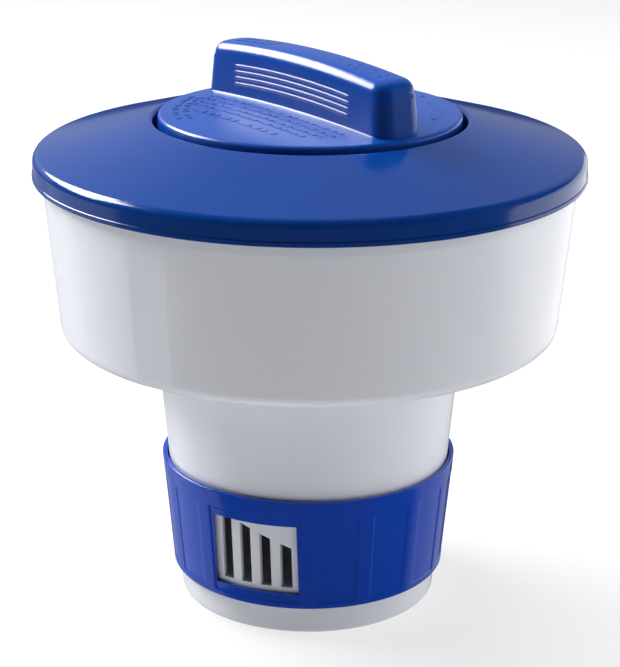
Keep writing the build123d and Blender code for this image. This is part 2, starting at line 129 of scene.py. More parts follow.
# ---------------------------------------------------------------- sizes of the visual model alone
COVER_BEAD = 0.3           # the lip at the foot of the skirt stands out this much
COVER_BEAD_TOP_Z = COVER_BOTTOM_Z + 1.5
COVER_SKIRT_FOOT_Z = COVER_BOTTOM_Z + 1.7
CONE_RS = (75.0, 62.0)     # radii between rim and well that carry a ring of points
TUBE_MIDDLE_R = 47.0       # tube radius at the slots, for the spacing of columns
COLUMN_R = 44.0            # smallest radius that the slots' columns are spaced on
SLOT_STEPS = 3             # columns across one slot
SLOT_GAP_STEPS = 3
PLAIN_COLUMNS = 112        # columns between the two groups of slots
SLOT_ROWS = 12
ABOVE_ROWS = 5             # rows in which the slanted line levels out
LEVEL_Z = 46.0
LEVEL_ANGLE = 30.0         # and the angle in which it does so round the tube
FLOAT_BEVEL = 0.35
WINDOW_COLUMNS = 20
WINDOW_ROWS = 12
WINDOW_R = 49.2            # ring radius at the window, for the spacing of columns
WINDOW_BEVEL = 0.3
RIB_EDGE_ANGLE = 0.3       # half width of a rib's sloping side, degrees
RIB_EDGE = 0.6             # width of the slope from rib to panel, degrees or mm
PANEL_STEP = 2.1           # degrees between a panel's columns
RING_LEVELS_BELOW = [11.4, 12.3, 12.6, 12.9, 14.2]
RING_LEVELS_ABOVE = [42.8, 43.9, 44.2, 44.5, 46.5, 48.8]
RING_FOOT_Z = 11.2         # where the ring's rounded foot and head end
RING_HEAD_Z = 49.6
GRIP_LINE_WIDTH = 0.7
GRIP_LINE_HEIGHT = 0.25
GRIP_LINE_FADE = 0.6       # the lines fade out over this length at each end
GRIP_LINE_STEPS = (-0.2, 0.0, 0.2, 0.4, 0.6, 0.8, 1.0, 1.4)
GRIP_UPPER_DROPS = [4.8, 5.8, 6.6]
GRIP_CROWN = 0.15          # the top is this much lower at its sides
GRIP_FOOT_FILLET = 0.8
CAP_SKIRT_ZS = (168.0, 160.0)
LUG_BOTTOM_Z = 152.35
LUG_LEVEL_STEP = 0.3
LUG_LEVELS = 16
LUG_BORE_Z = 158.0
CEILING_R = 43.9           # where the ceiling begins, inside the gasket's seat
CAVITY_HALF_LENGTH = 43.4
CAVITY_HALF_WIDTH = 5.2
CAVITY_CORNER_R = 2.2
CAVITY_DRAFT = 1.2
MARK_ROOT = 0.25           # how far a mark runs into the cap
MARK_HEIGHT = 0.15
MARK_GAP = 1.3
MARK_DASHES = (4.2, 2.4, 5.6, 3.2, 1.8, 4.8, 2.8, 6.2, 3.6, 2.2)
MARK_ROWS = (              # across the disc: place, half length, width
    (-14.6, 37, 1.5), (-18.4, 36, 1.5), (-22.2, 34, 1.5), (-26.0, 31, 1.5), (-31.4, 22, 2.4),
)
MARK_ARC_RS = (41.5, 45.0)
MARK_ARC = (206, 252)
MARK_ARC_WIDTH = 1.8
ARROW_R = 42.5
ARROW_START = 34
ARROW_NECK = 82
ARROW_TIP = 90
ARROW_HEAD_WIDTH = 6.0
ARROW_TIP_WIDTH = 0.2
GRIP_MARK_YS = (-2.0, 1.2)
GRIP_MARK_SPAN = (19.0, 39.0)
GRIP_MARK_WIDTH = 1.7
GRIP_MARK_SINK = 0.1       # below the spine's height, as the top falls to its sides

# ---------------------------------------------------------------- camera
CAMERA_AZIMUTH = 22.0      # degrees, from the window's side towards +X
CAMERA_DISTANCE = 0.6855   # from the axis, level
CAMERA_HEIGHT = 0.3254
CAMERA_PITCH = 18.77
CAMERA_ROLL = 0.33
CAMERA_LENS = 113.0
CAMERA_SHIFT_X = 0.0015


def from_camera_side(right, away, up):
    """A point given to the right of, away from and above the object, as the camera sees it."""
    a = math.radians(CAMERA_AZIMUTH)
    return Vector((
        right * math.cos(a) - away * math.sin(a),
        right * math.sin(a) + away * math.cos(a),
        up,
    ))


def make_camera():
    data = bpy.data.cameras.new("camera")
    data.lens = CAMERA_LENS
    data.sensor_width = 36.0
    data.shift_x = CAMERA_SHIFT_X
    data.clip_start = 0.01
    camera = add_object("camera", data)
    camera.matrix_world = (
        Matrix.Translation(from_camera_side(0, -CAMERA_DISTANCE, CAMERA_HEIGHT))
        @ Matrix.Rotation(math.radians(CAMERA_AZIMUTH), 4, "Z")
        @ Matrix.Rotation(math.radians(90 - CAMERA_PITCH), 4, "X")
        @ Matrix.Rotation(math.radians(CAMERA_ROLL), 4, "Z")
    )
    bpy.context.scene.camera = camera


# ---------------------------------------------------------------- floor and light
FLOOR_GLOW = 0.72
FLOOR_HALF = 6.0
BACKDROP_COLUMNS = 64
BACKDROP_PROFILE = [(3.6, 0.02), (4.6, 0.10), (5.4, 0.50), (5.9, 1.40), (6.0, 5.0)]
AIM_HEIGHT = 0.12          # lights and cards face the axis at this height


def emitter(name, strength):
    material = bpy.data.materials.new(name)
    material.use_nodes = True
    nodes = material.node_tree.nodes
    nodes.clear()
    glow = nodes.new("ShaderNodeEmission")
    glow.inputs["Strength"].default_value = strength
    out = nodes.new("ShaderNodeOutputMaterial")
    material.node_tree.links.new(glow.outputs["Emission"], out.inputs["Surface"])
    return material


def rectangle(name, half_x, half_y):
    mesh = bpy.data.meshes.new(name)
    corners = [(-half_x, -half_y, 0), (half_x, -half_y, 0), (half_x, half_y, 0), (-half_x, half_y, 0)]
    mesh.from_pydata(corners, [], [(0, 1, 2, 3)])
    return mesh


def add_object(name, data):
    thing = bpy.data.objects.new(name, data)
    bpy.context.scene.collection.objects.link(thing)
    return thing


def make_stage():
    """A pale floor that glows a little, as paper lit from all round does. It stays out of reflections."""
    mesh = rectangle("floor", FLOOR_HALF, FLOOR_HALF)
    floor = add_object("floor", mesh)
    material, _, _, shader = new_material("floor_paper")
    shader.inputs["Base Color"].default_value = grey(0.22)
    shader.inputs["Roughness"].default_value = 0.9
    shader.inputs["Specular IOR Level"].default_value = 0.0
    shader.inputs["Emission Color"].default_value = grey(1)
    shader.inputs["Emission Strength"].default_value = FLOOR_GLOW
    mesh.materials.append(material)
    floor.visible_glossy = False
    make_backdrop(material)


def make_backdrop(material):
    """The paper's sweep up behind the floor, all round. It only fills the view and lights nothing."""
    mesh = bpy.data.meshes.new("backdrop")
    count = BACKDROP_COLUMNS
    turns = [(math.cos(k * math.tau / count), math.sin(k * math.tau / count)) for k in range(count)]
    faces = []
    for level in range(len(BACKDROP_PROFILE) - 1):
        for k in range(count):
            a, b = level * count + k, level * count + (k + 1) % count
            faces.append((a, a + count, b + count, b))
    mesh.from_pydata([(r * c, r * s, z) for r, z in BACKDROP_PROFILE for c, s in turns], [], faces)
    mesh.materials.append(material)
    backdrop = add_object("backdrop", mesh)
    backdrop.visible_diffuse = False
    backdrop.visible_glossy = False
    backdrop.visible_shadow = False


def aim_at_object(thing, axis):
    """Turns a light or a card to face the object; axis is its own direction that looks out."""
    aim = Vector((0, 0, AIM_HEIGHT)) - thing.location
    thing.rotation_euler = aim.to_track_quat(axis, "Y").to_euler()


def card(name, right, away, up, width, height, strength):
    """A large evenly glowing panel that faces the object and shows only in its gloss."""
    mesh = rectangle(name, width / 2, height / 2)
    mesh.materials.append(emitter(name, strength))
    panel = add_object(name, mesh)
    panel.location = from_camera_side(right, away, up)
    aim_at_object(panel, "Z")
    panel.visible_camera = False
    panel.visible_diffuse = False
    panel.visible_shadow = False


def soft_box(name, right, away, up, width, height, brightness, mirrored=True):
    """A rectangular studio light aimed at the object. One that isn't mirrored stays out of the gloss."""
    data = bpy.data.lights.new(name, "AREA")
    data.shape = "RECTANGLE"
    data.size = width
    data.size_y = height
    data.energy = brightness * math.pi * width * height
    light = add_object(name, data)
    light.location = from_camera_side(right, away, up)
    aim_at_object(light, "-Z")
    light.visible_camera = False
    light.visible_glossy = mirrored


def make_light():
    world = bpy.data.worlds.new("studio")
    bpy.context.scene.world = world
    world.use_nodes = True
    background = world.node_tree.nodes["Background"]
    background.inputs["Color"].default_value = (0.75, 0.85, 1.0, 1)
    background.inputs["Strength"].default_value = 0.02
    soft_box("left_window", -0.88, 0.50, 0.80, 0.90, 0.60, 19)
    soft_box("right_key", 1.15, 0.12, 0.34, 1.0, 1.0, 3.4, mirrored=False)
    soft_box("top_key", 0.0, 0.30, 1.35, 0.8, 0.8, 8, mirrored=False)
    card("left_card", -0.75, 1.10, 0.62, 1.1, 1.0, 0.40)
    card("back_card", 0.0, 1.45, 0.95, 3.0, 1.9, 0.33)
    card("left_low_card", -0.75, 0.20, -0.25, 0.8, 0.6, 0.6)
    card("left_far_card", -0.60, 0.80, -0.25, 0.8, 0.6, 0.35)
    card("right_rim_card", 0.60, 0.34, 0.04, 1.0, 0.46, 1.4)
    card("right_low_card", 0.62, 0.45, -0.20, 0.8, 0.6, 0.45)
    bpy.context.scene.view_settings.view_transform = "Standard"


# ---------------------------------------------------------------- materials
def new_material(name):
    material = bpy.data.materials.new(name)
    material.use_nodes = True
    nodes = material.node_tree.nodes
    return material, nodes, material.node_tree.links, nodes["Principled BSDF"]


def noise(nodes, links, scale, detail, roughness=0.5, stretch=(1, 1, 1)):
    """Noise over the object's own coordinates, with the scale per metre."""
    coords = nodes.new("ShaderNodeTexCoord")
    mapping = nodes.new("ShaderNodeMapping")
    mapping.inputs["Scale"].default_value = stretch
    texture = nodes.new("ShaderNodeTexNoise")
    texture.inputs["Scale"].default_value = scale
    texture.inputs["Detail"].default_value = detail
    texture.inputs["Roughness"].default_value = roughness
    links.new(coords.outputs["Object"], mapping.inputs["Vector"])
    links.new(mapping.outputs["Vector"], texture.inputs["Vector"])
    return texture


def ramp(nodes, links, source, low, high, dark, light):
    """Maps a texture's spread onto two colours."""
    node = nodes.new("ShaderNodeValToRGB")
    node.color_ramp.elements[0].position = low
    node.color_ramp.elements[0].color = dark
    node.color_ramp.elements[1].position = high
    node.color_ramp.elements[1].color = light
    links.new(source, node.inputs["Fac"])
    return node


def grey(value):
    return (value, value, value, 1)


def bump(nodes, links, source, strength, distance, under=None):
    """Raises the surface by a texture, on top of another bump if one is given."""
    node = nodes.new("ShaderNodeBump")
    node.inputs["Strength"].default_value = strength
    node.inputs["Distance"].default_value = distance
    links.new(source, node.inputs["Height"])
    if under:
        links.new(under.outputs["Normal"], node.inputs["Normal"])
    return node


def moulded_plastic(name, dark, light, rough_low, rough_high, subsurface=0.0):
    """Glossy moulded plastic: faint colour clouds, uneven gloss, orange peel and fine rubbing marks."""
    material, nodes, links, shader = new_material(name)
    clouds = noise(nodes, links, 30, 2, 0.4, (1, 1, 0.15))
    tint = ramp(nodes, links, clouds.outputs["Fac"], 0.2, 0.8, dark, light)
    links.new(tint.outputs["Color"], shader.inputs["Base Color"])

    smears = noise(nodes, links, 45, 2, 0.4)
    gloss = ramp(nodes, links, smears.outputs["Fac"], 0.2, 0.8, grey(rough_low), grey(rough_high))
    links.new(gloss.outputs["Color"], shader.inputs["Roughness"])

    peel = noise(nodes, links, 260, 2)
    grain = noise(nodes, links, 2600, 2)
    bump_peel = bump(nodes, links, peel.outputs["Fac"], 0.05, 0.0006)
    bump_grain = bump(nodes, links, grain.outputs["Fac"], 0.04, 0.0001, under=bump_peel)
    links.new(bump_grain.outputs["Normal"], shader.inputs["Normal"])

    shader.inputs["IOR"].default_value = 1.5
    shader.inputs["Subsurface Weight"].default_value = subsurface
    shader.inputs["Subsurface Radius"].default_value = (1.0, 0.9, 0.8)
    shader.inputs["Subsurface Scale"].default_value = 0.003
    return material


def make_materials():
    blue = moulded_plastic(
        "blue_plastic", (0.0020, 0.035, 0.203, 1), (0.0024, 0.039, 0.220, 1),
        0.13, 0.17,
    )
    cap_blue = moulded_plastic(
        "blue_plastic_cap", (0.0020, 0.050, 0.290, 1), (0.0024, 0.055, 0.315, 1),
        0.22, 0.28,
    )
    ring_blue = moulded_plastic(
        "blue_plastic_ring", (0.0024, 0.045, 0.380, 1), (0.0028, 0.049, 0.405, 1),
        0.14, 0.19,
    )
    white = moulded_plastic(
        "white_plastic", (0.70, 0.715, 0.78, 1), (0.73, 0.745, 0.80, 1),
        0.20, 0.25, subsurface=0.1,
    )
    rubber, nodes, links, shader = new_material("seal_rubber")
    specks = noise(nodes, links, 900, 3)
    tone = ramp(nodes, links, specks.outputs["Fac"], 0.3, 0.7, grey(0.012), grey(0.03))
    links.new(tone.outputs["Color"], shader.inputs["Base Color"])
    shader.inputs["Roughness"].default_value = 0.65
    iron, nodes, links, shader = new_material("ballast_iron")
    cast = noise(nodes, links, 500, 5, 0.65)
    tone = ramp(nodes, links, cast.outputs["Fac"], 0.3, 0.75, grey(0.10), grey(0.26))
    links.new(tone.outputs["Color"], shader.inputs["Base Color"])
    pits = bump(nodes, links, cast.outputs["Fac"], 0.4, 0.0004)
    links.new(pits.outputs["Normal"], shader.inputs["Normal"])
    shader.inputs["Metallic"].default_value = 0.9
    shader.inputs["Roughness"].default_value = 0.6
    return {
        "blue": blue, "cap_blue": cap_blue, "ring_blue": ring_blue,
        "white": white, "rubber": rubber, "iron": iron,
    }


# ---------------------------------------------------------------- mesh helpers
def rounded_section(corners, arc_steps=6):
    """Corners are (r, z, fillet). Returns the closed section with arcs at the filleted corners."""
    points = []
    count = len(corners)
    for i, (r, z, fillet) in enumerate(corners):
        here = Vector((r, z))
        before = Vector(corners[i - 1][:2]) - here
        after = Vector(corners[(i + 1) % count][:2]) - here
        if fillet <= 0:
            points.append((r, z))
            continue
        half = before.angle(after) / 2
        reach = fillet / math.tan(half)
        a = here + before.normalized() * reach
        b = here + after.normalized() * reach
        centre = here + (before.normalized() + after.normalized()).normalized() * (fillet / math.sin(half))
        start = a - centre
        turn = start.angle_signed(b - centre)
        for step in range(arc_steps + 1):
            t = -turn * step / arc_steps
            spoke = Vector((
                start.x * math.cos(t) - start.y * math.sin(t),
                start.x * math.sin(t) + start.y * math.cos(t),
            ))
            points.append((centre.x + spoke.x, centre.y + spoke.y))
    return points


def around(r, angle, z):
    a = math.radians(angle)
    return (r * math.sin(a), -r * math.cos(a), z)


def skin(name, rings, holes=frozenset(), loop=True):
    """Joins rings of points by quads. Holes are the faces (ring, column) left open."""
    columns = len(rings[0])
    mesh = bpy.data.meshes.new(name)
    points = [tuple(c * MM for c in p) for ring in rings for p in ring]
    faces = []
    last = len(rings) if loop else len(rings) - 1
    for i in range(last):
        j = (i + 1) % len(rings)
        for k in range(columns):
            if (i, k) in holes:
                continue
            m = (k + 1) % columns
            faces.append((i * columns + k, i * columns + m, j * columns + m, j * columns + k))
    mesh.from_pydata(points, [], faces)
    return mesh


def finish_piece(name, mesh, material, body, replaces=(), bevel=0.0):
    """Cleans the mesh, shades it smooth and hangs it on its body."""
    work = bmesh.new()
    work.from_mesh(mesh)
    bmesh.ops.remove_doubles(work, verts=work.verts, dist=1e-6)
    bmesh.ops.recalc_face_normals(work, faces=work.faces)
    work.to_mesh(mesh)
    work.free()
    for polygon in mesh.polygons:
        polygon.use_smooth = True
    mesh.materials.append(material)
    piece = add_object(name, mesh)
    if bevel:
        soft = piece.modifiers.new("soft_edges", "BEVEL")
        soft.width = bevel * MM
        soft.segments = 2
        soft.limit_method = "WEIGHT"
    weighted = piece.modifiers.new("even_shading", "WEIGHTED_NORMAL")
    weighted.keep_sharp = True
    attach(piece, body)
    if replaces:
        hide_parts(*replaces)


def lathe(name, section, count=320):
    angles = [360.0 * k / count for k in range(count)]
    return skin(name, [[around(r, a, z) for a in angles] for r, z in section])


def open_faces(columns, rows, outer_ring, inner_ring):
    """The faces (ring, column) of both skins that the holes leave open."""
    faces = set()
    for k, column in enumerate(columns):
        if column[-1]:
            for row in range(rows):
                faces.add((outer_ring(row), k))
                faces.add((inner_ring(row + 1), k))
    return faces


def wall_holes(mesh, columns, steps, rows, outer_ring, inner_ring):
    """Walls between the outer and inner skin round each hole, with their edges marked for the bevel.

    A hole starts at each column whose last entry is true after one whose isn't. outer_ring and
    inner_ring give the ring of points for a row of the hole.
    """
    width = len(columns)
    work = bmesh.new()
    work.from_mesh(mesh)
    work.verts.ensure_lookup_table()
    weight = work.edges.layers.float.new("bevel_weight_edge")
    for start in [k for k, c in enumerate(columns) if c[-1] and not columns[k - 1][-1]]:
        end = start + steps
        path = [(0, k) for k in range(start, end)]
        path += [(row, end) for row in range(rows)]
        path += [(rows, k) for k in range(end, start, -1)]
        path += [(row, start) for row in range(rows, 0, -1)]
        for (row_a, k_a), (row_b, k_b) in zip(path, path[1:] + path[:1]):
            k_a, k_b = k_a % width, k_b % width
            a, b = outer_ring(row_a) * width + k_a, outer_ring(row_b) * width + k_b
            c, d = inner_ring(row_b) * width + k_b, inner_ring(row_a) * width + k_a
            work.faces.new([work.verts[i] for i in (a, b, c, d)])
            for p, q in ((a, b), (d, c)):
                work.edges.get((work.verts[p], work.verts[q]))[weight] = 1.0
    work.to_mesh(mesh)
    work.free()


def smooth_step(x):
    x = min(1.0, max(0.0, x))
    return x * x * (3 - 2 * x)


# ---------------------------------------------------------------- cover
def make_cover(materials):
    slope = (WELL_EDGE_Z - COVER_CORNER_Z) / (COVER_R - WELL_R)

    def top_z(r):
        return COVER_CORNER_Z + (COVER_R - r) * slope

    def under_z(r):
        return top_z(r) - WALL * math.hypot(1, slope)

    skirt_r = COVER_R - COVER_BEAD
    section = rounded_section([
        (COVER_R - WALL, COVER_BOTTOM_Z, 0.3),
        (COVER_R, COVER_BOTTOM_Z, 0.5),
        (COVER_R, COVER_BEAD_TOP_Z, 0.28),
        (skirt_r, COVER_SKIRT_FOOT_Z, 0.18),
        (skirt_r, COVER_CORNER_Z, COVER_CORNER_FILLET),
        *((r, top_z(r), 0) for r in CONE_RS),
        (WELL_R, WELL_EDGE_Z, WELL_EDGE_R),
        (WELL_R, WELL_FLOOR_Z, 0.4),
        (WELL_HOLE_R, WELL_FLOOR_Z, 0.2),
        (WELL_HOLE_R, WELL_FLOOR_Z - WALL, 0.2),
        (WELL_R + WALL, WELL_FLOOR_Z - WALL, 0.5),
        (WELL_R + WALL, under_z(WELL_R + WALL), 0.8),
        (TONGUE_R - WALL, under_z(TONGUE_R - WALL), 0.4),
        (TONGUE_R - WALL, TONGUE_BOTTOM_Z, 0.3),
        (TONGUE_R, TONGUE_BOTTOM_Z, 0.3),
        (TONGUE_R, under_z(TONGUE_R), 0.4),
        (COVER_R - WALL, under_z(COVER_R - WALL), 0.5),
    ], arc_steps=8)
    mesh = lathe("cover", section)
    finish_piece("cover", mesh, materials["blue"], "housing", ["float_cover"])


# ---------------------------------------------------------------- float body with its slots
def slot_reach():
    """Distance from the middle of a group of slots to its last edge."""
    return (SLOT_COUNT - 1) / 2 * SLOT_PITCH + SLOT_WIDTH / 2


def slot_columns():
    """Columns round the tube: (x line or None, side or angle, whether a slot starts here)."""
    columns = []
    edge_angle = math.degrees(math.asin(slot_reach() / TUBE_MIDDLE_R))
    for side in (0.0, 180.0):
        for index in range(SLOT_COUNT):
            middle = (index - (SLOT_COUNT - 1) / 2) * SLOT_PITCH
            for step in range(SLOT_STEPS):
                x = middle - SLOT_WIDTH / 2 + SLOT_WIDTH * step / SLOT_STEPS
                columns.append((x, side, True))
            columns.append((middle + SLOT_WIDTH / 2, side, False))
            if index < SLOT_COUNT - 1:
                gap = SLOT_PITCH - SLOT_WIDTH
                for step in range(1, SLOT_GAP_STEPS):
                    columns.append((middle + SLOT_WIDTH / 2 + gap * step / SLOT_GAP_STEPS, side, False))
        span = 180 - 2 * edge_angle
        for step in range(1, PLAIN_COLUMNS):
            columns.append((None, side + edge_angle + span * step / PLAIN_COLUMNS, False))
    return columns


def column_angle(column, r):
    x, side, _ = column
    if x is None:
        return side
    return side + math.degrees(math.asin(x / r))


def slot_top(column):
    """Height of the slanted top line at a column; it levels out away from the slots."""
    x, side, _ = column
    if x is None:
        angle = side % 180
        away = min(angle, 180 - angle) - math.degrees(math.asin(slot_reach() / TUBE_MIDDLE_R))
        x = slot_reach() * (1 if angle < 90 else -1) * (1 - smooth_step(away / LEVEL_ANGLE))
    return SLOT_TOP_Z + SLOT_TOP_SLOPE * x


def tube_r(z):
    return BASE_R + z * TUBE_TAPER


def below_slots():
    """Outer section of the tube from the base to under the slots."""
    return rounded_section([
        (POCKET_R, 0.0, 0.4),
        (BASE_R, 0.0, BASE_EDGE_R),
        (tube_r(9.0), 9.0, 0),
        (tube_r(13.5), 13.5, 0),
        (POCKET_R, 13.5, 0),
    ])[:-1]


def above_slots():
    """Section from over the slots up the tube and the bowl, and down inside them."""
    rim_start_z = BOWL_FLOOR_Z + (BOWL_RIM_R - BOWL_CORNER_R) / BOWL_TAPER
    floor_top = BOWL_FLOOR_Z + WALL
    inside_corner = BOWL_CORNER_R - WALL + WALL * BOWL_TAPER
    collar_out_r = COLLAR_R + COLLAR_WALL
    return rounded_section([
        (tube_r(50.0), 50.0, 0),
        (tube_r(72.0), 72.0, 0),
        (tube_r(BOWL_FLOOR_Z), BOWL_FLOOR_Z, NECK_FILLET),
        (BOWL_CORNER_R - 14, BOWL_FLOOR_Z, 0),
        (BOWL_CORNER_R, BOWL_FLOOR_Z, BOWL_CORNER_FILLET),
        (BOWL_CORNER_R + 2.4, BOWL_FLOOR_Z + 2.4 / BOWL_TAPER, 0),
        (BOWL_RIM_R, rim_start_z, 1.5),
        (BOWL_RIM_R, BOWL_RIM_Z, 0.5),
        (BOWL_RIM_R - WALL, BOWL_RIM_Z, 0.5),
        (BOWL_RIM_R - WALL, rim_start_z, 1.0),
        (inside_corner, floor_top, 2.5),
        (collar_out_r, floor_top, 0.3),
        (collar_out_r, COLLAR_TOP_Z, 0.3),
        (COLLAR_R, COLLAR_TOP_Z, 0.3),
        (COLLAR_R, floor_top, 0.2),
        (THROAT_R, floor_top, 0.4),
        (THROAT_R, BOWL_FLOOR_Z, 0.4),
        (tube_r(BOWL_FLOOR_Z) - WALL, BOWL_FLOOR_Z, 0.4),
        (tube_r(70.0) - WALL, 70.0, 0),
        (tube_r(50.0) - WALL, 50.0, 0),
    ])


def inside_base():
    """Section inside the tube below the slots: the tablet floor, closed on the axis, and the pocket."""
    return rounded_section([
        (tube_r(50) - WALL, 50, 0),
        (tube_r(TABLET_FLOOR_Z) - WALL, TABLET_FLOOR_Z, 0.6),
        (0.0, TABLET_FLOOR_Z, 0),
        (0.0, POCKET_TOP_Z, 0),
        (POCKET_R, POCKET_TOP_Z, 0.3),
        (POCKET_R, 2.0, 0),
    ])[1:]


def slot_levels(columns):
    """Heights of each row of points at each column, through the slots and up to a level row."""
    levels = []
    for row in range(SLOT_ROWS + 1):
        t = row / SLOT_ROWS
        levels.append([SLOT_BOTTOM_Z + t * (slot_top(c) - SLOT_BOTTOM_Z) for c in columns])
    for row in range(1, ABOVE_ROWS + 1):
        t = row / ABOVE_ROWS
        levels.append([slot_top(c) + t * (LEVEL_Z - slot_top(c)) for c in columns])
    return levels


def make_float_body(materials):
    columns = slot_columns()
    levels = slot_levels(columns)

    def plain_rings(section):
        return [[around(r, column_angle(c, max(r, COLUMN_R)), z) for c in columns] for r, z in section]

    def slotted_ring(level, inset):
        return [
            around(tube_r(z) - inset, column_angle(c, tube_r(z) - inset), z)
            for c, z in zip(columns, level)
        ]

    rings = plain_rings(below_slots())
    first_slot_ring = len(rings)
    rings += [slotted_ring(level, 0.0) for level in levels]
    rings += plain_rings(above_slots())
    first_inner_ring = len(rings)
    rings += [slotted_ring(level, WALL) for level in reversed(levels)]
    rings += [[around(r, column_angle(c, COLUMN_R), z) for c in columns] for r, z in inside_base()]

    def outer_ring(row):
        return first_slot_ring + row

    def inner_ring(row):
        return first_inner_ring + len(levels) - 1 - row

    holes = open_faces(columns, SLOT_ROWS, outer_ring, inner_ring)
    mesh = skin("float_body", rings, holes)
    wall_holes(mesh, columns, SLOT_STEPS, SLOT_ROWS, outer_ring, inner_ring)
    finish_piece(
        "float_body", mesh, materials["white"], "housing", ["float_body"],
        bevel=FLOAT_BEVEL,
    )


# ---------------------------------------------------------------- control ring
def ring_columns():
    """Columns round the ring: (angle, x line or None, side or None, whether a window lies after it)."""
    columns = []
    for side in (0.0, 180.0):
        for i in range(WINDOW_COLUMNS + 1):
            x = -WINDOW_HALF_WIDTH + 2 * WINDOW_HALF_WIDTH * i / WINDOW_COLUMNS
            angle = side + math.degrees(math.asin(x / WINDOW_R))
            columns.append((angle, x, side, i < WINDOW_COLUMNS))
    plain = []
    half = RIB_COUNT // 2
    for rib in range(RIB_COUNT):
        if rib % half == 0:
            continue
        middle = rib * RIB_PITCH
        for offset in (-1, 1):
            edge = middle + offset * RIB_ANGLE / 2
            plain += [edge + shift for shift in (-RIB_EDGE_ANGLE, 0.0, RIB_EDGE_ANGLE)]
        plain += [middle + offset * RIB_ANGLE for offset in (-0.25, 0.0, 0.25)]
    for panel in range(RIB_COUNT):
        if panel % half in (0, half - 1):
            continue
        middle = (panel + 0.5) * RIB_PITCH
        plain += [middle + step * PANEL_STEP for step in range(-3, 4)]
    columns += [(angle, None, None, False) for angle in plain]
    columns.sort(key=lambda c: c[0] % 360)
    return columns


def panel_depth(angle, z):
    """How far the ring's outside lies below its ribs here. No rib stands at the middle of a window."""
    nearest = round((angle % 360) / RIB_PITCH)
    if nearest % (RIB_COUNT // 2) == 0:
        side_mask = 1.0
    else:
        off = abs((angle % 360) - nearest * RIB_PITCH) - RIB_ANGLE / 2
        side_mask = smooth_step(0.5 + off / RIB_EDGE)
    low = smooth_step(0.5 + (z - PANEL_BOTTOM_Z) / RIB_EDGE)
    high = smooth_step(0.5 + (PANEL_TOP_Z - z) / RIB_EDGE)
    return PANEL_DEPTH * side_mask * low * high


def ring_r(z):
    slope = (RING_TOP_R - RING_BOTTOM_R) / (RING_TOP_Z - RING_BOTTOM_Z)
    return RING_BOTTOM_R + (z - RING_BOTTOM_Z) * slope


def ring_point(r, column, z, outside):
    angle, x, side, _ = column
    if x is not None and WINDOW_BOTTOM_Z - 0.1 <= z <= WINDOW_TOP_Z + 0.1:
        angle = side + math.degrees(math.asin(x / r))
    depth = panel_depth(angle, z) if outside else 0.0
    return around(r - depth, angle, z)


def make_control_ring(materials):
    columns = ring_columns()
    foot = rounded_section([
        (ring_r(RING_FOOT_Z) - RING_WALL, RING_FOOT_Z, 0),
        (RING_BOTTOM_R - RING_WALL, RING_BOTTOM_Z, 0.25),
        (RING_BOTTOM_R, RING_BOTTOM_Z, RING_EDGE_R),
        (ring_r(RING_FOOT_Z), RING_FOOT_Z, 0),
    ])[1:-1]
    head = rounded_section([
        (ring_r(RING_HEAD_Z), RING_HEAD_Z, 0),
        (RING_TOP_R, RING_TOP_Z, RING_EDGE_R),
        (RING_TOP_R - RING_WALL, RING_TOP_Z, 0.3),
        (ring_r(RING_HEAD_Z) - RING_WALL, RING_HEAD_Z, 0),
    ])[1:-1]
    window_height = WINDOW_TOP_Z - WINDOW_BOTTOM_Z
    window_levels = [WINDOW_BOTTOM_Z + window_height * i / WINDOW_ROWS for i in range(WINDOW_ROWS + 1)]
    levels = RING_LEVELS_BELOW + window_levels + RING_LEVELS_ABOVE

    rings = [[ring_point(r, c, z, False) for c in columns] for r, z in foot]
    first_outer = len(rings)
    rings += [[ring_point(ring_r(z), c, z, True) for c in columns] for z in levels]
    rings += [[ring_point(r, c, z, False) for c in columns] for r, z in head]
    first_inner = len(rings)
    rings += [[ring_point(ring_r(z) - RING_WALL, c, z, False) for c in columns] for z in reversed(levels)]

    def outer_ring(row):
        return first_outer + len(RING_LEVELS_BELOW) + row

    def inner_ring(row):
        return first_inner + len(levels) - 1 - len(RING_LEVELS_BELOW) - row

    holes = open_faces(columns, WINDOW_ROWS, outer_ring, inner_ring)
    mesh = skin("control_ring", rings, holes)
    wall_holes(mesh, columns, WINDOW_COLUMNS, WINDOW_ROWS, outer_ring, inner_ring)
    finish_piece(
        "control_ring", mesh, materials["ring_blue"], "ring", ["control_ring"],
        bevel=WINDOW_BEVEL,
    )


# ---------------------------------------------------------------- screw cap
# Every ring of the cap has the same points, so that the bar's outline can run into the disc's circle.
END_STEPS, CORNER_STEPS, SIDE_STEPS = 5, 12, 70
QUARTER = END_STEPS + CORNER_STEPS + SIDE_STEPS
CORNER_PHI = 27.0          # angle on the circle that matches the end and corner of the outline


def quarter_outline(half_length, half_width, corner_r, step):
    """Point of a rounded rectangle's first quarter, from the end's middle to the side's middle."""
    corner_r = max(0.0, min(corner_r, half_width, half_length))
    if step <= END_STEPS:
        return half_length, (half_width - corner_r) * step / END_STEPS
    step -= END_STEPS
    if step <= CORNER_STEPS:
        t = math.pi / 2 * step / CORNER_STEPS
        return (
            half_length - corner_r + corner_r * math.cos(t),
            half_width - corner_r + corner_r * math.sin(t),
        )
    step -= CORNER_STEPS
    return (half_length - corner_r) * (1 - step / SIDE_STEPS), half_width


def quarter_circle(radius, step):
    """Point of a circle's first quarter, matched to quarter_outline's steps."""
    corner_steps = END_STEPS + CORNER_STEPS
    if step <= corner_steps:
        phi = math.radians(CORNER_PHI * step / corner_steps)
    else:
        share = 1 - (step - corner_steps) / SIDE_STEPS
        phi = math.acos(math.cos(math.radians(CORNER_PHI)) * share)
    return radius * math.cos(phi), radius * math.sin(phi)


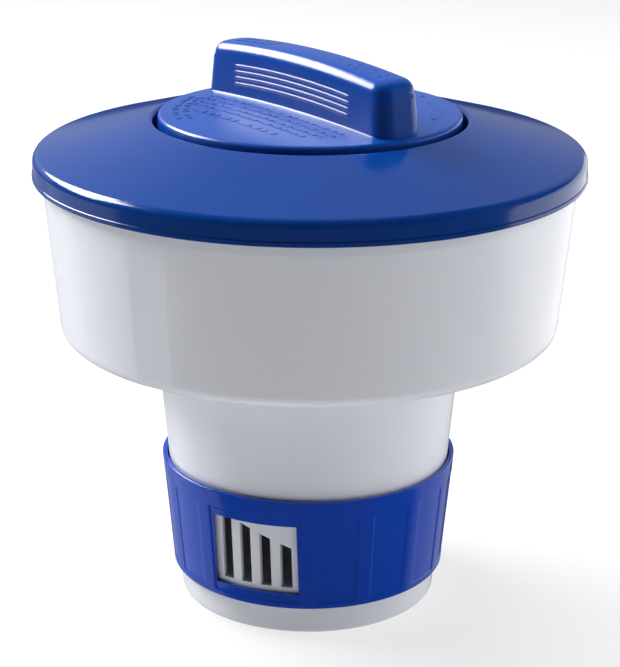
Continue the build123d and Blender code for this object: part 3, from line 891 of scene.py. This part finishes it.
def whole_ring(quarter):
    """Mirrors a quarter's point function into a full ring of (x, y)."""
    first = [quarter(step) for step in range(QUARTER + 1)]
    ring = first[:-1]
    ring += [(-x, y) for x, y in reversed(first[1:])]
    ring += [(-x, -y) for x, y in first[:-1]]
    ring += [(x, -y) for x, y in reversed(first[1:])]
    return ring


def outline_ring(half_length, half_width, corner_r):
    return whole_ring(lambda step: quarter_outline(half_length, half_width, corner_r, step))


def circle_ring(radius):
    return whole_ring(lambda step: quarter_circle(radius, step))


def disc_z(x, y):
    """The cap's gently domed top."""
    share = min(1.0, math.hypot(x, y) / CAP_R)
    return CAP_CROWN_Z - (CAP_CROWN_Z - CAP_EDGE_Z) * share * share


def grip_top_z(x):
    return GRIP_TOP_Z - GRIP_ARCH * (x / GRIP_HALF_LENGTH) ** 2


def grip_sizes(z):
    """Half length and half width of the bar at a height, from its draft."""
    t = (z - GRIP_ROOT_Z) / (GRIP_TOP_Z - GRIP_ROOT_Z)
    return GRIP_HALF_LENGTH - GRIP_END_DRAFT * t, GRIP_HALF_WIDTH - GRIP_SIDE_DRAFT * t


def grip_line_height(x, y, drop):
    """Raised lines along the bar's two long sides, at a drop below its arched top."""
    on_an_end = abs(y) < GRIP_HALF_WIDTH / 3
    if on_an_end or abs(x) > GRIP_LINE_HALF_LENGTH + GRIP_LINE_FADE:
        return 0.0
    fade = smooth_step((GRIP_LINE_HALF_LENGTH + GRIP_LINE_FADE - abs(x)) / (2 * GRIP_LINE_FADE))
    middle = GRIP_FIRST_LINE_DROP + GRIP_LINE_WIDTH / 2
    index = round((drop - middle) / GRIP_LINE_PITCH)
    if not 0 <= index < GRIP_LINE_COUNT:
        return 0.0
    off = abs(drop - (middle + index * GRIP_LINE_PITCH))
    return GRIP_LINE_HEIGHT * fade * smooth_step((GRIP_LINE_WIDTH / 2 + 0.2 - off) / 0.35)


def lug_height(angle, z):
    """Thread lugs inside the skirt, rising anticlockwise seen from above."""
    best = 0.0
    for start in range(THREAD_STARTS):
        turn = (angle - start * 360 / THREAD_STARTS - LUG_LEAD_IN) % 360
        if turn > 180 + LUG_ARC / 2:
            turn -= 360
        if -1.0 < turn < LUG_ARC + 1.0:
            off = abs(z - LUG_START_Z - THREAD_LEAD * turn / 360)
            end = smooth_step((min(turn, LUG_ARC - turn) + 1.0) / 1.5)
            best = max(best, LUG_HEIGHT * end * smooth_step((0.85 - off) / 0.45))
    return best


def turned(x, y, z):
    """A point given along and across the grip bar, turned to where the closed cap has it."""
    a = math.radians(GRIP_ANGLE)
    return (x * math.cos(a) - y * math.sin(a), x * math.sin(a) + y * math.cos(a), z)


def blend_rings(inner, outer, steps, surface):
    """Rings that run from one outline to another over a surface."""
    rings = []
    for step in range(1, steps + 1):
        t = step / steps
        points = [(x0 + (x1 - x0) * t, y0 + (y1 - y0) * t) for (x0, y0), (x1, y1) in zip(inner, outer)]
        rings.append([turned(x, y, surface(x, y)) for x, y in points])
    return rings


def circle_rings(section):
    return [[turned(x, y, z) for x, y in circle_ring(r)] for r, z in section]


def grip_top_rings():
    """Top of the bar from its spine outwards, and the fillet round it."""
    top_l, top_w = grip_sizes(GRIP_TOP_Z - GRIP_EDGE_FILLET)
    flat_l, flat_w = top_l - GRIP_EDGE_FILLET, top_w - GRIP_EDGE_FILLET
    flat_r = GRIP_CORNER_R - GRIP_EDGE_FILLET
    rings = []
    for share in (0.0, 0.25, 0.5, 0.75, 1.0):
        inset = flat_w * (1 - share)
        ring = outline_ring(flat_l - inset, flat_w - inset, flat_r * share)
        rings.append([turned(x, y, grip_top_z(x) - GRIP_CROWN * (y / flat_w) ** 2) for x, y in ring])
    fillet_steps = 8
    for step in range(1, fillet_steps + 1):
        t = math.pi / 2 * step / fillet_steps
        out = GRIP_EDGE_FILLET * math.sin(t)
        down = GRIP_EDGE_FILLET * (1 - math.cos(t)) + GRIP_CROWN
        ring = outline_ring(flat_l + out, flat_w + out, flat_r + out)
        rings.append([turned(x, y, grip_top_z(x) - down) for x, y in ring])
    return rings


def grip_side_rings():
    """Sides of the bar with the raised lines, and the small fillet at its foot."""
    drops = list(GRIP_UPPER_DROPS)
    for line in range(GRIP_LINE_COUNT):
        drops += [GRIP_FIRST_LINE_DROP + GRIP_LINE_PITCH * line + part for part in GRIP_LINE_STEPS]
    outline = outline_ring(GRIP_HALF_LENGTH, GRIP_HALF_WIDTH, GRIP_CORNER_R)
    rings = []
    for drop in drops:
        points = []
        for x, y in outline:
            z = grip_top_z(x) - drop
            half_l, half_w = grip_sizes(z)
            px, py = x * half_l / GRIP_HALF_LENGTH, y * half_w / GRIP_HALF_WIDTH
            py += math.copysign(grip_line_height(px, py, drop), py)
            points.append(turned(px, py, z))
        rings.append(points)
    for share in (0.4, 0.75, 1.0):
        points = []
        for x, y in outline:
            high = grip_top_z(x) - drops[-1]
            low = disc_z(x, y) + GRIP_FOOT_FILLET
            z = high + (low - high) * share
            half_l, half_w = grip_sizes(z)
            points.append(turned(x * half_l / GRIP_HALF_LENGTH, y * half_w / GRIP_HALF_WIDTH, z))
        rings.append(points)
    base_l, base_w = grip_sizes(CAP_CROWN_Z + GRIP_FOOT_FILLET)
    foot_steps = 4
    for step in range(1, foot_steps + 1):
        t = math.pi / 2 * step / foot_steps
        out = GRIP_FOOT_FILLET * (1 - math.cos(t))
        up = GRIP_FOOT_FILLET * (1 - math.sin(t))
        ring = outline_ring(base_l + out, base_w + out, GRIP_CORNER_R + out)
        rings.append([turned(x, y, disc_z(x, y) + up) for x, y in ring])
    return rings


def disc_rings():
    """Top of the disc, spreading from the bar's outline to the edge, and the fillet of the edge."""
    base_l, base_w = grip_sizes(CAP_CROWN_Z + GRIP_FOOT_FILLET)
    flat_edge = CAP_R - CAP_EDGE_FILLET
    inner = outline_ring(
        base_l + GRIP_FOOT_FILLET, base_w + GRIP_FOOT_FILLET, GRIP_CORNER_R + GRIP_FOOT_FILLET,
    )
    rings = blend_rings(inner, circle_ring(flat_edge), 24, disc_z)
    edge_z = disc_z(flat_edge, 0)
    edge_steps = 8
    for step in range(1, edge_steps + 1):
        t = math.pi / 2 * step / edge_steps
        r = flat_edge + CAP_EDGE_FILLET * math.sin(t)
        z = edge_z - CAP_EDGE_FILLET * (1 - math.cos(t))
        rings += circle_rings([(r, z)])
    return rings


def skirt_rings():
    """Outside and foot of the skirt, its bore with the thread lugs, and the gasket's seat."""
    outside = rounded_section([
        *((CAP_R, z, 0) for z in CAP_SKIRT_ZS),
        (CAP_R, CAP_BOTTOM_Z, CAP_SKIRT_EDGE_R),
        (CAP_BORE_R, CAP_BOTTOM_Z, 0.3),
        (CAP_BORE_R, CAP_BOTTOM_Z + 0.4, 0),
    ], 4)
    rings = circle_rings(outside[:-1])
    for level in range(LUG_LEVELS):
        z = LUG_BOTTOM_Z + LUG_LEVEL_STEP * level
        points = []
        for x, y in circle_ring(CAP_BORE_R):
            wx, wy, _ = turned(x, y, z)
            angle = math.degrees(math.atan2(wy, wx))
            keep = (CAP_BORE_R - lug_height(angle, z)) / CAP_BORE_R
            points.append((wx * keep, wy * keep, z))
        rings.append(points)
    inside = rounded_section([
        (CAP_BORE_R, LUG_BORE_Z, 0),
        (CAP_BORE_R, CAP_SEAT_Z, 0.4),
        (GASKET_IN_R, CAP_SEAT_Z, 0.2),
        (GASKET_IN_R - 0.6, CAP_CEILING_Z, 0.3),
        (CEILING_R, CAP_CEILING_Z, 0),
    ], 3)
    return rings + circle_rings(inside)


def cavity_rings():
    """Ceiling of the disc and the hollow inside the bar, closed along the bar's spine."""
    def roof_z(x):
        return grip_top_z(x) - GRIP_WALL

    outline = outline_ring(CAVITY_HALF_LENGTH, CAVITY_HALF_WIDTH, CAVITY_CORNER_R)
    rings = blend_rings(circle_ring(CEILING_R), outline, 12, lambda x, y: CAP_CEILING_Z)
    for share in (0.03, 0.25, 0.5, 0.75, 0.97, 1.0):
        shrink = CAVITY_DRAFT * share
        ring = outline_ring(CAVITY_HALF_LENGTH - shrink, CAVITY_HALF_WIDTH - shrink, CAVITY_CORNER_R - 0.4)
        rings.append([
            turned(x, y, CAP_CEILING_Z + (roof_z(x) - CAP_CEILING_Z) * share) for x, y in ring
        ])
    roof_l, roof_w = CAVITY_HALF_LENGTH - CAVITY_DRAFT, CAVITY_HALF_WIDTH - CAVITY_DRAFT
    for share in (0.6, 0.3, 0.0):
        ring = outline_ring(roof_l - roof_w * (1 - share), roof_w * share, 1.6 * share)
        rings.append([turned(x, y, roof_z(x)) for x, y in ring])
    return rings


def make_screw_cap(materials):
    rings = grip_top_rings() + grip_side_rings() + disc_rings() + skirt_rings() + cavity_rings()
    mesh = skin("screw_cap", rings, loop=False)
    finish_piece("screw_cap", mesh, materials["cap_blue"], "cap", ["screw_cap"])


# ---------------------------------------------------------------- raised marks on the cap
def strip(path, width):
    """A flat band of even width along a path of (x, y): one pair of sides for each point."""
    pairs = []
    for i, (x, y) in enumerate(path):
        (x0, y0), (x1, y1) = path[max(i - 1, 0)], path[min(i + 1, len(path) - 1)]
        length = math.hypot(x1 - x0, y1 - y0)
        nx, ny = (y0 - y1) / length * width / 2, (x1 - x0) / length * width / 2
        pairs.append(((x - nx, y - ny), (x + nx, y + ny)))
    return pairs


def raise_band(work, pairs, surface):
    """Adds a closed low solid that follows a surface along the pairs."""
    def vert(point, lift):
        x, y = point
        return work.verts.new(Vector(turned(x, y, surface(x, y) + lift)) * MM)

    rings = [
        [
            vert(left, -MARK_ROOT), vert(left, MARK_HEIGHT),
            vert(right, MARK_HEIGHT), vert(right, -MARK_ROOT),
        ]
        for left, right in pairs
    ]
    for near, far in zip(rings, rings[1:]):
        for k in range(4):
            work.faces.new((near[k - 1], near[k], far[k], far[k - 1]))
    work.faces.new(reversed(rings[0]))
    work.faces.new(rings[-1])


def straight(x0, x1, y, step=2.0):
    count = max(1, round((x1 - x0) / step))
    return [(x0 + (x1 - x0) * i / count, y) for i in range(count + 1)]


def arc(radius, start, end, step=2.0):
    count = max(2, round(abs(end - start) / step))
    angles = [math.radians(start + (end - start) * i / count) for i in range(count + 1)]
    return [(radius * math.cos(t), radius * math.sin(t)) for t in angles]


def dash_row(start, end, shift):
    """Dashes of uneven length between two positions."""
    dashes = []
    place = start
    while place < end - 1.5:
        stop = min(place + MARK_DASHES[shift % len(MARK_DASHES)], end)
        dashes.append((place, stop))
        place = stop + MARK_GAP
        shift += 1
    return dashes


def across_arc(angle, width):
    """The pair of points that lie across the arrow's arc at an angle."""
    c, d = math.cos(math.radians(angle)), math.sin(math.radians(angle))
    outside, inside = ARROW_R + width / 2, ARROW_R - width / 2
    return (outside * c, outside * d), (inside * c, inside * d)


def make_cap_marks(materials):
    """Plain raised dashes and an arrow where the moulded cap has its instructions."""
    work = bmesh.new()
    for index, (y, half, width) in enumerate(MARK_ROWS):
        for x0, x1 in dash_row(-half, half, 3 * index):
            raise_band(work, strip(straight(x0, x1, y), width), disc_z)
    for index, radius in enumerate(MARK_ARC_RS):
        for t0, t1 in dash_row(*MARK_ARC, 4 * index):
            raise_band(work, strip(arc(radius, t0, t1), MARK_ARC_WIDTH), disc_z)
    raise_band(work, strip(arc(ARROW_R, ARROW_START, ARROW_NECK), MARK_ARC_WIDTH), disc_z)
    head = [across_arc(ARROW_TIP, ARROW_TIP_WIDTH), across_arc(ARROW_NECK, ARROW_HEAD_WIDTH)]
    raise_band(work, head, disc_z)
    for side in (-1, 1):
        for index, y in enumerate(GRIP_MARK_YS):
            for x0, x1 in dash_row(*GRIP_MARK_SPAN, 2 * index):
                path = straight(x0, x1, y)
                if side < 0:
                    path = [(-x, y) for x, y in reversed(path)]
                raise_band(work, strip(path, GRIP_MARK_WIDTH), lambda x, y: grip_top_z(x) - GRIP_MARK_SINK)
    bmesh.ops.recalc_face_normals(work, faces=work.faces)
    mesh = bpy.data.meshes.new("cap_marks")
    work.to_mesh(mesh)
    work.free()
    mesh.materials.append(materials["cap_blue"])
    marks = add_object("cap_marks", mesh)
    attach(marks, "cap")


# ---------------------------------------------------------------- CAD pieces that stay
def finish_cad_pieces(materials):
    kept = {
        "tablet_tube": "white", "base_plug": "white",
        "cap_seal": "rubber", "tube_head_seal": "rubber", "tube_foot_seal": "rubber",
        "rim_seal": "rubber", "base_seal": "rubber", "ballast_weight": "iron",
    }
    for node, look in kept.items():
        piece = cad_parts[node]
        piece.data.materials.clear()
        piece.data.materials.append(materials[look])


make_camera()
make_stage()
make_light()
looks = make_materials()
make_cover(looks)
make_float_body(looks)
make_control_ring(looks)
make_screw_cap(looks)
make_cap_marks(looks)
finish_cad_pieces(looks)
